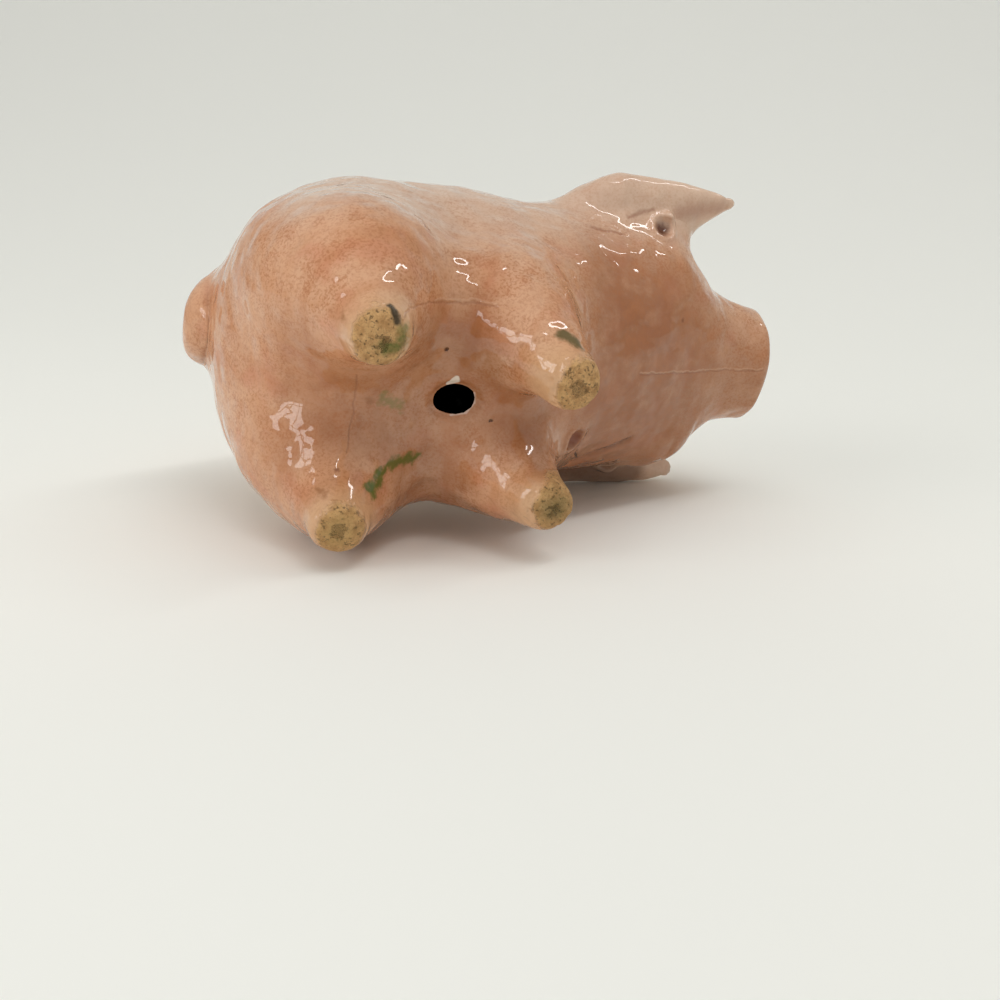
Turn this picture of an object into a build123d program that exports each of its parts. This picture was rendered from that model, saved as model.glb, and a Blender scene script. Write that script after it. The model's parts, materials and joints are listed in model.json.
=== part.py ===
"""A small hollow pig of glazed earthenware that stands on four short legs."""
from build123d import *
from math import cos, pi, radians, sin
import os

# Body sizes in millimetres. X runs to the snout, Y to the pig's left and Z up from the ground.
overall_length = 61.8
trunk_width = 30.0
trunk_height = 32.4
belly_height = 8.0
wall = 2.3
cut_overrun = 5.0

# Vent hole in the belly and marks on the head.
vent_diameter = 4.2
eye_diameter = 2.0
nostril_diameter = 1.5
nostril_depth = 0.9
nostril_spacing = 4.4

# Legs: a bare foot disc, a thigh that runs out inside the body, and the height where it ends.
hind_foot_diameter = 4.5
hind_thigh_diameter = 10.6
hind_hip_height = 16.0
front_foot_diameter = 4.6
front_thigh_diameter = 12.0
front_hip_height = 21.0

# Haunches: the round swell of each hind leg over the body's side.
haunch_length = 19.4
haunch_width = 16.0
haunch_height = 22.6

# Ears: flat leaves that point forward.
ear_length = 13.0
ear_width = 11.8
ear_thickness = 6.0
ear_splay_angle = 15.0
ear_dip_angle = 9.0
ear_slope_angle = 32.0

# Tail: a round cord curled once on the rump.
tail_stand = 2.3
tail_cord_diameter = 3.8
tail_curl_diameter = 6.0
tail_curl_start_angle = -20.0
tail_curl_turn_angle = 300.0
tail_lean_angle = 28.0

# Trunk stations from rump to snout: place along the trunk, half width, underside and back.
# The first is a share of the trunk's length, the second of half its width, the others of its height.
trunk_station_shares = (
    (0.000, 0.10, 0.470, 0.570),
    (0.022, 0.45, 0.280, 0.700),
    (0.090, 0.77, 0.100, 0.880),
    (0.225, 1.00, 0.000, 0.980),
    (0.395, 0.99, 0.045, 1.000),
    (0.545, 0.94, 0.065, 0.965),
    (0.665, 0.92, 0.160, 0.940),
    (0.780, 0.86, 0.265, 0.850),
    (0.880, 0.58, 0.340, 0.725),
    (0.950, 0.43, 0.370, 0.690),
    (0.990, 0.385, 0.367, 0.682),
    (1.000, 0.345, 0.382, 0.667),
)
cavity_reach_shares = (0.090, 0.880)
section_points = 16

# Places along the trunk, out from the middle plane and up, as shares of its length, half width and height.
hind_foot_shares = (0.190, 0.607)
hind_hip_shares = (0.190, 0.500)
front_foot_shares = (0.500, 0.400)
front_hip_shares = (0.440, 0.510)
haunch_shares = (0.190, 0.540, 0.265)
vent_along_share = 0.361
panel_bulge_share = 0.640

# Leg sections from foot to hip: height, lean from foot to hip, and swell from foot to thigh.
hind_leg_shares = (
    (0.000, 0.00, 0.00),
    (0.031, 0.00, 0.04),
    (0.081, 0.00, 0.13),
    (0.156, 0.02, 0.28),
    (0.262, 0.08, 0.51),
    (0.370, 0.18, 0.74),
    (0.480, 0.32, 0.90),
    (0.600, 0.50, 1.00),
    (0.750, 0.75, 0.96),
    (0.900, 0.95, 0.74),
    (1.000, 1.00, 0.40),
)
front_leg_shares = (
    (0.000, 0.00, 0.00),
    (0.029, 0.04, 0.03),
    (0.070, 0.12, 0.09),
    (0.143, 0.24, 0.20),
    (0.240, 0.40, 0.38),
    (0.330, 0.55, 0.62),
    (0.430, 0.71, 0.85),
    (0.520, 0.86, 1.00),
    (0.670, 1.00, 1.00),
    (0.860, 1.00, 0.62),
    (1.000, 1.00, 0.10),
)

# Ear root on the head, as shares of the trunk's length, half width and height, and its sections:
# place along the ear's length, half width and half thickness.
ear_root_shares = (0.705, 0.845, 0.670)
ear_section_shares = (
    (-0.42, 0.30, 0.30),
    (-0.30, 0.72, 0.70),
    (0.000, 1.00, 1.00),
    (0.300, 0.82, 0.84),
    (0.600, 0.57, 0.62),
    (0.850, 0.34, 0.40),
    (0.970, 0.20, 0.25),
    (1.000, 0.10, 0.12),
)

# Eye place, as shares of the trunk's length, half width and height, and the tail's, of the last two.
eye_shares = (0.772, 0.870, 0.560)
tail_shares = (0.130, 0.640)

trunk_length = overall_length - tail_stand
snout_x = overall_length / 2
rump_x = snout_x - trunk_length
half_width = trunk_width / 2


def along(share):
    """X of a place given as a share of the trunk's length from the rump."""
    return rump_x + trunk_length * share


def up(share):
    """Height of a place given as a share of the trunk's height above the belly."""
    return belly_height + trunk_height * share


def oval(x, half_across, bottom, top):
    """A closed oval section of the trunk, square to X."""
    middle = (bottom + top) / 2
    half_up = (top - bottom) / 2
    turns = [2 * pi * step / section_points for step in range(section_points)]
    points = [(x, half_across * cos(turn), middle + half_up * sin(turn)) for turn in turns]
    return make_face(Spline(points, periodic=True))


def trunk(rows, inset, first_x, last_x):
    """The body without legs, ears and tail, drawn in by an inset all round."""
    sections = []
    for number, (place, across, bottom, top) in enumerate(rows):
        x = along(place)
        if number == 0:
            x = first_x
        if number == len(rows) - 1:
            x = last_x
        sections.append(oval(x, half_width * across - inset, up(bottom) + inset, up(top) - inset))
    return loft(sections)


def leg(side, foot_places, hip_places, foot_diameter, thigh_diameter, hip_height, rows):
    """A leg from its bare foot up to the place where it runs out inside the body."""
    foot = Vector(along(foot_places[0]), side * half_width * foot_places[1])
    hip = Vector(along(hip_places[0]), side * half_width * hip_places[1])
    sections = []
    for height, lean, swell in rows:
        place = foot + (hip - foot) * lean
        radius = (foot_diameter + (thigh_diameter - foot_diameter) * swell) / 2
        sections.append(Pos(place.X, place.Y, hip_height * height) * Circle(radius))
    return loft(sections)


def haunch(side):
    """The swell of a hind leg, an egg that lies in the body's side."""
    place, out, height = haunch_shares
    egg = scale(Sphere(1), (haunch_length / 2, haunch_width / 2, haunch_height / 2))
    return Pos(along(place), side * half_width * out, up(height)) * egg


def ear(side):
    """A leaf-shaped ear, from inside the head to its tip."""
    place, out, height = ear_root_shares
    root = Vector(along(place), side * half_width * out, up(height))
    splay = radians(ear_splay_angle)
    dip = radians(ear_dip_angle)
    slope = radians(ear_slope_angle)
    forward = Vector(cos(dip) * cos(splay), side * cos(dip) * sin(splay), -sin(dip))
    outward = Vector(0, side * cos(slope), -sin(slope))
    flat = (outward - forward * outward.dot(forward)).normalized()
    sections = []
    for step, across, thick in ear_section_shares:
        plane = Plane(origin=root + forward * (ear_length * step), x_dir=flat, z_dir=forward)
        sections.append(plane * Ellipse(ear_width / 2 * across, ear_thickness / 2 * thick))
    return loft(sections)


def tail():
    """A cord curled once, lying against the rump."""
    out, height = tail_shares
    lean = radians(tail_lean_angle)
    reach = (tail_cord_diameter + tail_curl_diameter * sin(lean)) / 2
    middle = (reach - overall_length / 2, half_width * out, up(height))
    plane = Plane(origin=middle, x_dir=(0, 1, 0), z_dir=(-cos(lean), 0, sin(lean)))
    path = plane * CenterArc((0, 0), tail_curl_diameter / 2, tail_curl_start_angle, tail_curl_turn_angle)
    cord = sweep(Plane(origin=path @ 0, z_dir=path % 0) * Circle(tail_cord_diameter / 2), path=path)
    ends = [Pos(*tuple(path @ end)) * Sphere(tail_cord_diameter / 2) for end in (0, 1)]
    return cord + ends


def belly_prism():
    """An upright prism over the belly panel: its corners are at the feet and its sides bulge."""
    hind_x = along(hind_foot_shares[0])
    hind_y = half_width * hind_foot_shares[1]
    front_x = along(front_foot_shares[0])
    front_y = half_width * front_foot_shares[1]
    bulge = ((hind_x + front_x) / 2, half_width * panel_bulge_share)
    left = ThreePointArc((hind_x, hind_y), bulge, (front_x, front_y))
    right = ThreePointArc((front_x, -front_y), (bulge[0], -bulge[1]), (hind_x, -hind_y))
    front = Line((front_x, front_y), (front_x, -front_y))
    rear = Line((hind_x, -hind_y), (hind_x, hind_y))
    return extrude(make_face([left, front, right, rear]), amount=belly_height + trunk_height / 2)


def half_space(side):
    """A box over the whole pig on one side of the middle plane."""
    depth = trunk_width + cut_overrun
    box = Box(overall_length + cut_overrun, depth, belly_height + trunk_height + cut_overrun)
    return Pos(0, side * depth / 2, (belly_height + trunk_height) / 2) * box


# Body: the outer form less the cavity, cut at the middle plane and round the belly panel.
outer = trunk(trunk_station_shares, 0, rump_x, snout_x)
cavity_rear, cavity_front = cavity_reach_shares
cavity_rows = [row for row in trunk_station_shares if cavity_rear <= row[0] <= cavity_front]
cavity = trunk(cavity_rows, wall, along(cavity_rear), along(cavity_front))
hollow_body = outer - cavity
panel_prism = belly_prism()
vent = Pos(along(vent_along_share), 0) * Cylinder(vent_diameter / 2, belly_height + trunk_height)
belly_panel = (hollow_body & panel_prism) - vent
body_sides = hollow_body - panel_prism

pieces = {"belly_panel": belly_panel}
for side, side_name in ((-1, "right"), (1, "left")):
    # Marks that belong to this side: an eye under the ear and one nostril in the snout's flat end.
    eye_x, eye_y, eye_z = along(eye_shares[0]), side * half_width * eye_shares[1], up(eye_shares[2])
    eye = Pos(eye_x, eye_y, eye_z) * Rot(90, 0, 0) * Sphere(eye_diameter / 2)
    snout_height = up((trunk_station_shares[-1][2] + trunk_station_shares[-1][3]) / 2)
    nostril = Rot(0, 90, 0) * Cylinder(nostril_diameter / 2, 2 * nostril_depth)
    nostril = Pos(snout_x, side * nostril_spacing / 2, snout_height) * nostril
    pieces[side_name + "_side_shell"] = (body_sides & half_space(side)) - eye - nostril
    pieces[side_name + "_ear"] = ear(side) - outer - eye
    hind_leg = leg(
        side, hind_foot_shares, hind_hip_shares, hind_foot_diameter, hind_thigh_diameter,
        hind_hip_height, hind_leg_shares)
    pieces["hind_" + side_name + "_leg"] = hind_leg + haunch(side) - outer
    pieces["front_" + side_name + "_leg"] = leg(
        side, front_foot_shares, front_hip_shares, front_foot_diameter, front_thigh_diameter,
        front_hip_height, front_leg_shares) - outer
pieces["tail"] = tail() - outer

os.makedirs("parts", exist_ok=True)
for name, solid in pieces.items():
    export_step(solid, "parts/" + name + ".step")
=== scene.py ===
"""A small glazed earthenware pig, lying on its left side on a pale ground with its feet to the camera."""
import bpy
import json
import math
import numpy as np
from mathutils import Matrix, Vector


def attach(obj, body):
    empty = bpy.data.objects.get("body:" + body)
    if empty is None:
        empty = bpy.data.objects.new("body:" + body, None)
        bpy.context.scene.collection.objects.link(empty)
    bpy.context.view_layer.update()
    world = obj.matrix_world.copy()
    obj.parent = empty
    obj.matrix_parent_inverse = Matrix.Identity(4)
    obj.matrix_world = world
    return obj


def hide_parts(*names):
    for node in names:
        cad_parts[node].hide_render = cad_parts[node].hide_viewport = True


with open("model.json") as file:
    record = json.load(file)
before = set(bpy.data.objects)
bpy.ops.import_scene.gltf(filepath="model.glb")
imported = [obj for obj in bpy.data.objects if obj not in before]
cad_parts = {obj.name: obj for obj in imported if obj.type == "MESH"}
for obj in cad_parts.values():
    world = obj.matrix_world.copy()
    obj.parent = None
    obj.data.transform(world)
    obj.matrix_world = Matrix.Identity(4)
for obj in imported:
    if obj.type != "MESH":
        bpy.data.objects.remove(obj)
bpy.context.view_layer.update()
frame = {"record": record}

# Body sizes in millimetres, in the part's frame: X to the snout, Y to the pig's left, Z up from its feet.
MM = 0.001
SNOUT_X = 30.9
TRUNK_LENGTH = 59.5
HALF_WIDTH = 15.0
BELLY_HEIGHT = 8.0
TRUNK_HEIGHT = 32.4
WALL = 2.2
RUMP_X = SNOUT_X - TRUNK_LENGTH
SNOUT_EDGE = 1.1

# Head and rump bend a little to the left, ever more from the neck and the loin on.
NECK_X = 2.0
HEAD_BEND = 0.95
LOIN_X = -12.0
RUMP_BEND = 1.1
BEND_POWER = 1.5

# Trunk stations: place along it, half width, underside and back, as shares of the trunk's own sizes.
TRUNK_SHARES = np.array((
    (0.000, 0.10, 0.470, 0.570),
    (0.022, 0.45, 0.280, 0.700),
    (0.090, 0.77, 0.100, 0.880),
    (0.225, 1.00, 0.000, 0.980),
    (0.395, 0.99, 0.045, 1.000),
    (0.545, 0.94, 0.065, 0.965),
    (0.665, 0.92, 0.160, 0.940),
    (0.780, 0.87, 0.265, 0.850),
    (0.835, 0.73, 0.310, 0.785),
    (0.880, 0.55, 0.340, 0.725),
    (0.930, 0.455, 0.365, 0.695),
    (1.000, 0.395, 0.360, 0.685),
))
TRUNK_STEPS = 400

# Legs: the foot's centre and radius on the ground, its bare patch's centre, and the root's in the body.
FOOT_EDGE = 1.1
LEG_RISE_SHARES = np.array((0.0, 0.08, 0.18, 0.32, 0.52, 0.76, 1.0))
LEG_SWELL_SHARES = np.array((0.0, 0.13, 0.23, 0.40, 0.68, 0.92, 1.0))
LEG_BLEND = 6.0
LEGS = {
    "hind_right_leg": {"haunch": True, "foot": (-16.7, -8.8, 0), "foot_radius": 2.0, "bare": (-16.9, -9.0),
                       "root": (-16.5, -9.2, 12.7), "root_radius": 6.2},
    "hind_left_leg": {"haunch": True, "foot": (-18.2, 9.1, 0), "foot_radius": 2.1, "bare": (-18.0, 9.2),
                      "root": (-16.5, 9.2, 12.7), "root_radius": 6.2},
    "front_right_leg": {"haunch": False, "foot": (1.1, -5.7, 0), "foot_radius": 2.1, "bare": (1.2, -5.9),
                        "root": (-2.5, -7.4, 12.6), "root_radius": 5.2},
    "front_left_leg": {"haunch": False, "foot": (1.3, 6.3, 0), "foot_radius": 2.0, "bare": (1.5, 6.1),
                       "root": (-2.5, 7.4, 12.6), "root_radius": 5.2},
}
BARE_RADIUS = 2.15
BARE_SOFT = 0.25
BARE_SHAPE = (1.0, 0.85, 0.35)
FOOT_ROUGHNESS = 0.35
FOOT_ROUGH_HEIGHT = 0.6
FOOT_GRAIN = 0.9
FOOT_SEED = 5

# Haunches, given for the right one, and how far both are shifted to the left.
HAUNCH_CENTRE = (-17.7, -8.1, 18.5)
HAUNCH_SHIFT = 0.2
HAUNCH_RADII = (8.3, 6.2, 9.6)
HAUNCH_BLEND = 5.0

# Ears, given on the right side: root, both tips, half width, half thickness and the flat side's direction.
EAR_ROOT = (13.6, -12.9, 29.7)
RIGHT_EAR_TIP = (24.3, -16.0, 27.7)
LEFT_EAR_TIP = (25.3, -15.9, 27.5)
EAR_HALF_WIDTH = 6.1
EAR_HALF_THICKNESS = 3.0
EAR_TIP_RADIUS = 0.85
EAR_TAPER_POWER = 0.8
EAR_STEEPNESS = 1.1
EAR_FLAT_DIRECTION = (0.0, -0.53, 0.85)
EAR_BLEND = 3.5

# Tail: a tapering cord curled once on the rump.
TAIL_CENTRE = (-27.8, 1.5, 28.7)
TAIL_LEAN = math.radians(28)
TAIL_CURL_RADIUS = 3.1
TAIL_CORD_RADIUS = 1.9
TAIL_TIP_RADIUS = 1.3
TAIL_START = math.radians(-20)
TAIL_TURN = math.radians(300)
TAIL_BLEND = 3.0

# Vent hole in the belly, with a dip round it and a thinner wall at its edge.
VENT_CENTRE = (-7.3, -0.1)
VENT_HALF_SIZES = (1.95, 1.5)
VENT_TURN = math.radians(-11)
VENT_DIP = 0.2
VENT_DIP_WIDTH = 0.4
VENT_WALL = 0.35
VENT_TOP_Z = 15.0

# Eyes under the ears, given for the right one: a dent with a rim and a lid, and its dark floor's place.
EYE_CENTRE = (16.45, -13.8, 24.3)
EYE_FLOOR = (16.4, -13.4, 24.7)
EYE_RADIUS = 0.8
EYE_DEPTH = 0.65
EYE_RIM = 0.3
EYE_RIM_WIDTH = 0.55
EYE_LID_OFFSET = (0.65, -1.2, 0.3)
EYE_LID_HEIGHT = 0.4
EYE_LID_WIDTH = 0.8

# Nostrils in the snout's end.
NOSTRIL_Y = 2.2
NOSTRIL_RADIUS = 0.75
NOSTRIL_HEIGHT = 24.9
NOSTRIL_EDGE = 0.3

# Fold and pad of the left jowl, brow under the ears, and a pit by the left front leg.
JOWL_FOLD = ((8.8, 9.3, 15.3), (14.6, 7.0, 16.4))
JOWL_FOLD_DEPTH = 0.45
JOWL_FOLD_WIDTH = 0.55
JOWL_PAD = (21.4, 9.3, 21.8)
JOWL_PAD_HEIGHT = 1.6
JOWL_PAD_WIDTH = 4.4
BROW = (18.6, -11.6, 26.6)
BROW_HEIGHT = 0.55
BROW_WIDTH = 2.6
PIT_CENTRE = (6.1, 4.6, 11.7)
PIT_RADIUS = 1.0
PIT_FLOOR = (6.45, 4.8, 12.1)
PIT_DEPTH = 0.7
PIT_RIM = 0.3
PIT_RIM_WIDTH = 0.4

# Rims of the eyes and the pit lie this many radii out.
RIM_RATIO = 1.5

# Belly panel outline, between the feet.
PANEL_REAR_X = -17.2
PANEL_FRONT_X = 0.9
PANEL_REAR_Y = 9.1
PANEL_FRONT_Y = 6.0
PANEL_BULGE = 2.0
PANEL_TOP_Z = 20.0

# Slow waves that the glaze makes, as sizes and heights: each is a sum of ripples of about that size.
WAVE_SIZES = ((8.0, 0.06), (3.0, 0.035))
RIPPLE_COUNT = 9
RIPPLE_SPREAD = (0.8, 1.3)

# Mesh: the grid's spacing and the band round the skin where it is fine, and how points settle on the skin.
SPACING = 0.3
COARSE_CELLS = 4
BAND_CELLS = 1.6
GRID_MARGIN = 6.0
SLOPE_STEP = 0.04
SLOPE_FLOOR = 0.2
SETTLE_ROUNDS = 3
SETTLE_SHARE = 0.5
TINY = 1e-12
AXES = np.eye(3, dtype=int)
CELL_CORNERS = np.stack(np.meshgrid((0, 1), (0, 1), (0, 1), indexing="ij"), -1).reshape(-1, 3)

# Cuts between pieces: the share of an edge kept clear at its ends, and how proud a feature is at its cut.
CUT_MARGIN_SHARE = 0.2
FEATURE_STAND = 0.3

# Walls: how deep the clay is probed, the share that a wall may take, and how far out hollows are felt.
PROBE_START = 3 * WALL
PROBE_END = 0.2
PROBE_STEP = 0.4
ROOM_SHARE = 0.36
HOLLOW_REACH = 4.0


def smooth_min(a, b, k):
    """The lower of two distances, blended over a width k."""
    h = np.clip(0.5 + 0.5 * (b - a) / k, 0, 1)
    return b * (1 - h) + a * h - k * h * (1 - h)


def smooth_max(a, b, k):
    """The higher of two distances, blended over a width k."""
    return -smooth_min(-a, -b, k)


def length(v):
    """Length of each row."""
    return np.sqrt((v * v).sum(-1))


def unit(v):
    """The vector at length one."""
    v = np.asarray(v, float)
    return v / np.linalg.norm(v)


def curve(x, knots, values):
    """A smooth curve through the values, with no overshoot between them."""
    gaps = np.diff(knots)
    secants = np.diff(values) / gaps
    slopes = np.concatenate((secants[:1], np.zeros(len(secants) - 1), secants[-1:]))
    same = secants[:-1] * secants[1:] > 0
    slopes[1:-1][same] = 2 / (1 / secants[:-1][same] + 1 / secants[1:][same])
    i = np.clip(np.searchsorted(knots, x) - 1, 0, len(gaps) - 1)
    t = np.clip((x - knots[i]) / gaps[i], 0, 1)
    rise = gaps[i] * (t * (1 - t) ** 2 * slopes[i] - t ** 2 * (1 - t) * slopes[i + 1])
    return values[i] + (values[i + 1] - values[i]) * t ** 2 * (3 - 2 * t) + rise


def bell(distance, width):
    """A soft bump that is one at no distance."""
    return np.exp(-(distance / width) ** 2)


def line_gap(p, start, end):
    """Distance of each point to the straight line between two places."""
    start, run = np.array(start), np.array(end) - np.array(start)
    t = np.clip((p - start) @ run / (run @ run), 0, 1)
    return length(p - start - t[:, None] * run)


def mirrored(p):
    """The points folded onto the pig's right side."""
    return p * np.array((1, 0, 1)) - np.abs(p) * np.array((0, 1, 0))


def ripples(p, size, height, seed):
    """Uneven waves about one size long, as a sum of tilted ripples."""
    draw = np.random.default_rng(seed)
    total = np.zeros(len(p))
    for _ in range(RIPPLE_COUNT):
        direction = unit(draw.normal(size=3)) * 2 * math.pi / (size * draw.uniform(*RIPPLE_SPREAD))
        total += height / math.sqrt(RIPPLE_COUNT) * np.sin(p @ direction + draw.uniform(0, 2 * math.pi))
    return total


# Trunk sections in fine steps: squares of the half sizes keep the rump round.
STATION_X = RUMP_X + TRUNK_LENGTH * TRUNK_SHARES[:, 0]
STATION_LOW = BELLY_HEIGHT + TRUNK_HEIGHT * TRUNK_SHARES[:, 2]
STATION_TOP = BELLY_HEIGHT + TRUNK_HEIGHT * TRUNK_SHARES[:, 3]
STEP_X = np.linspace(RUMP_X, SNOUT_X, TRUNK_STEPS)
STEP_WIDE = np.sqrt(curve(STEP_X, STATION_X, (HALF_WIDTH * TRUNK_SHARES[:, 1]) ** 2))
STEP_MIDDLE = curve(STEP_X, STATION_X, (STATION_LOW + STATION_TOP) / 2)
STEP_HIGH = np.sqrt(curve(STEP_X, STATION_X, ((STATION_TOP - STATION_LOW) / 2) ** 2))
STEP_SLOPE = np.clip(np.gradient(STEP_WIDE, STEP_X), -1, 1)


def trunk_distance(p):
    """Distance to the body and head without legs, ears and tail."""
    x = np.clip(p[:, 0], RUMP_X, SNOUT_X)
    wide = np.interp(x, STEP_X, STEP_WIDE)
    high = np.interp(x, STEP_X, STEP_HIGH)
    middle = np.interp(x, STEP_X, STEP_MIDDLE)
    slope = np.interp(x, STEP_X, STEP_SLOPE)
    bend = HEAD_BEND * np.clip((x - NECK_X) / (SNOUT_X - NECK_X), 0, 1) ** BEND_POWER
    bend = bend + RUMP_BEND * np.clip((x - LOIN_X) / (RUMP_X - LOIN_X), 0, 1) ** BEND_POWER
    ratio = np.sqrt(((p[:, 1] - bend) / wide) ** 2 + ((p[:, 2] - middle) / high) ** 2)
    around = (ratio - 1) * np.minimum(wide, high) / np.sqrt(1 + slope ** 2)
    behind = np.maximum(RUMP_X - p[:, 0], 0)
    around = np.where(behind > 0, np.hypot(np.maximum(around, 0), behind), around)
    return smooth_max(around, p[:, 0] - SNOUT_X, SNOUT_EDGE)


def leg_distance(p, leg):
    """Distance to a leg: a cone that flares from its foot to its root in the body."""
    foot = np.array(leg["foot"])
    axis = np.array(leg["root"]) - foot
    t = np.clip((p - foot) @ axis / (axis @ axis), 0, 1)
    swell = curve(t, LEG_RISE_SHARES, LEG_SWELL_SHARES)
    radius = leg["foot_radius"] + (leg["root_radius"] - leg["foot_radius"]) * swell
    return length(p - foot - t[:, None] * axis) - radius


def ellipsoid_distance(p, centre, radii):
    """Distance to an ellipsoid, near enough for blending."""
    q = (p - np.array(centre)) / np.array(radii)
    reach = length(q)
    return reach * (reach - 1) / np.maximum(length(q / np.array(radii)), TINY)


def haunch_distance(p):
    """Distance to the swell over either hind leg."""
    folded = mirrored(p - np.array((0, HAUNCH_SHIFT, 0)))
    return ellipsoid_distance(folded, HAUNCH_CENTRE, HAUNCH_RADII)


def thigh_distance(p, leg):
    """Distance to a leg, with the haunch above it on a hind leg."""
    d = leg_distance(p, leg)
    if not leg["haunch"]:
        return d
    return np.minimum(d, np.where(p[:, 1] * leg["foot"][1] > 0, haunch_distance(p), d))


def ear_distance(p, tip):
    """Distance to an ear, folded onto the right side: a flat leaf that narrows to its tip."""
    root = np.array(EAR_ROOT)
    along = np.array(tip) - root
    reach = np.linalg.norm(along)
    along = along / reach
    flat = np.array(EAR_FLAT_DIRECTION)
    flat = unit(flat - (flat @ along) * along)
    across = np.cross(flat, along)
    q = p - root
    t = np.clip(q @ along / reach, 0, 1)
    radius = EAR_HALF_WIDTH * (1 - t) ** EAR_TAPER_POWER + EAR_TIP_RADIUS * t
    squash = EAR_HALF_WIDTH / EAR_HALF_THICKNESS
    spread = np.sqrt((q @ along - t * reach) ** 2 + (q @ across) ** 2 + ((q @ flat) * squash) ** 2)
    return (spread - radius) / squash * EAR_STEEPNESS


def ears_distance(p):
    """Distance to the ear on each point's own side."""
    folded = mirrored(p)
    return np.where(p[:, 1] < 0, ear_distance(folded, RIGHT_EAR_TIP), ear_distance(folded, LEFT_EAR_TIP))


def tail_distance(p):
    """Distance to the curled tail."""
    q = p - np.array(TAIL_CENTRE)
    away = q @ np.array((-math.cos(TAIL_LEAN), 0, math.sin(TAIL_LEAN)))
    up = q @ np.array((math.sin(TAIL_LEAN), 0, math.cos(TAIL_LEAN)))
    across = q[:, 1]
    turn = np.mod(np.arctan2(-up, across) - TAIL_START, 2 * math.pi)
    turn = np.where(turn > (TAIL_TURN / 2 + math.pi), 0, np.minimum(turn, TAIL_TURN))
    at = turn + TAIL_START
    gap = np.stack((across - TAIL_CURL_RADIUS * np.cos(at), up + TAIL_CURL_RADIUS * np.sin(at), away), -1)
    radius = TAIL_CORD_RADIUS + (TAIL_TIP_RADIUS - TAIL_CORD_RADIUS) * turn / TAIL_TURN
    return length(gap) - radius


def vent_gap(p):
    """Distance from the edge of the oval vent in the belly, below zero inside it."""
    x, y = p[:, 0] - VENT_CENTRE[0], p[:, 1] - VENT_CENTRE[1]
    along = x * math.cos(VENT_TURN) + y * math.sin(VENT_TURN)
    across = y * math.cos(VENT_TURN) - x * math.sin(VENT_TURN)
    ratio = np.hypot(along / VENT_HALF_SIZES[0], across / VENT_HALF_SIZES[1])
    return np.maximum((ratio - 1) * min(VENT_HALF_SIZES), p[:, 2] - VENT_TOP_Z)


def blended_distance(p):
    """Distance to the trunk, haunches, legs, ears and tail, run smoothly into one another."""
    d = trunk_distance(p)
    d = smooth_min(d, haunch_distance(p), HAUNCH_BLEND)
    for leg in LEGS.values():
        d = smooth_min(d, leg_distance(p, leg), LEG_BLEND)
    d = smooth_min(d, ears_distance(p), EAR_BLEND)
    return smooth_min(d, tail_distance(p), TAIL_BLEND)


def pig_distance(p):
    """Distance to the whole pig's skin, with its waves, folds, dents and rims."""
    folded = mirrored(p)
    d = blended_distance(p)
    for seed, (size, height) in enumerate(WAVE_SIZES):
        d = d + ripples(p, size, height, seed)
    d = d + JOWL_FOLD_DEPTH * bell(line_gap(p, *JOWL_FOLD), JOWL_FOLD_WIDTH)
    d = d - JOWL_PAD_HEIGHT * bell(length(p - np.array(JOWL_PAD)), JOWL_PAD_WIDTH)
    d = d - BROW_HEIGHT * bell(length(folded - np.array(BROW)), BROW_WIDTH)
    pit = length(p - np.array(PIT_CENTRE))
    d = d + PIT_DEPTH * bell(pit, PIT_RADIUS) - PIT_RIM * bell(pit - RIM_RATIO * PIT_RADIUS, PIT_RIM_WIDTH)
    grains = np.maximum(ripples(p, FOOT_GRAIN, FOOT_ROUGHNESS, FOOT_SEED), 0)
    d = d + grains * bell(np.maximum(p[:, 2], 0), FOOT_ROUGH_HEIGHT)
    eye = length(folded - np.array(EYE_CENTRE))
    lid = length(folded - np.array(EYE_CENTRE) - np.array(EYE_LID_OFFSET))
    d = d - EYE_RIM * bell(eye - RIM_RATIO * EYE_RADIUS, EYE_RIM_WIDTH)
    d = d - EYE_LID_HEIGHT * bell(lid, EYE_LID_WIDTH)
    d = d + EYE_DEPTH * bell(eye, EYE_RADIUS)
    nostril = np.hypot(np.abs(p[:, 1]) - NOSTRIL_Y, p[:, 2] - NOSTRIL_HEIGHT)
    nostril = np.hypot(nostril, p[:, 0] - SNOUT_X)
    d = smooth_max(d, NOSTRIL_RADIUS - nostril, NOSTRIL_EDGE)
    d = d + VENT_DIP * bell(np.maximum(vent_gap(p), 0), VENT_DIP_WIDTH)
    return smooth_max(d, -p[:, 2], FOOT_EDGE)


def uphill(p):
    """Gradient of the pig's distance, which points out of the clay."""
    sides = np.eye(3) * SLOPE_STEP
    return np.stack([pig_distance(p + s) - pig_distance(p - s) for s in sides], -1) / (2 * SLOPE_STEP)


def sampled_grid():
    """The distance on a fine grid, worked out only near the skin, and the grid's lowest corner."""
    low = np.array((RUMP_X, -HALF_WIDTH, 0)) - GRID_MARGIN
    high = np.array((SNOUT_X, HALF_WIDTH, BELLY_HEIGHT + TRUNK_HEIGHT)) + GRID_MARGIN
    wide = SPACING * COARSE_CELLS
    cells = np.ceil((high - low) / wide).astype(int)
    numbers = np.stack(np.meshgrid(*[np.arange(n) for n in cells], indexing="ij"), -1)
    values = pig_distance((low + (numbers + 0.5) * wide).reshape(-1, 3)).reshape(cells)
    for axis in range(3):
        values = np.repeat(values, COARSE_CELLS, axis=axis)
    near = np.argwhere(np.abs(values) < BAND_CELLS * wide)
    values[tuple(near.T)] = pig_distance(low + near * SPACING)
    return values, low


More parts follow.
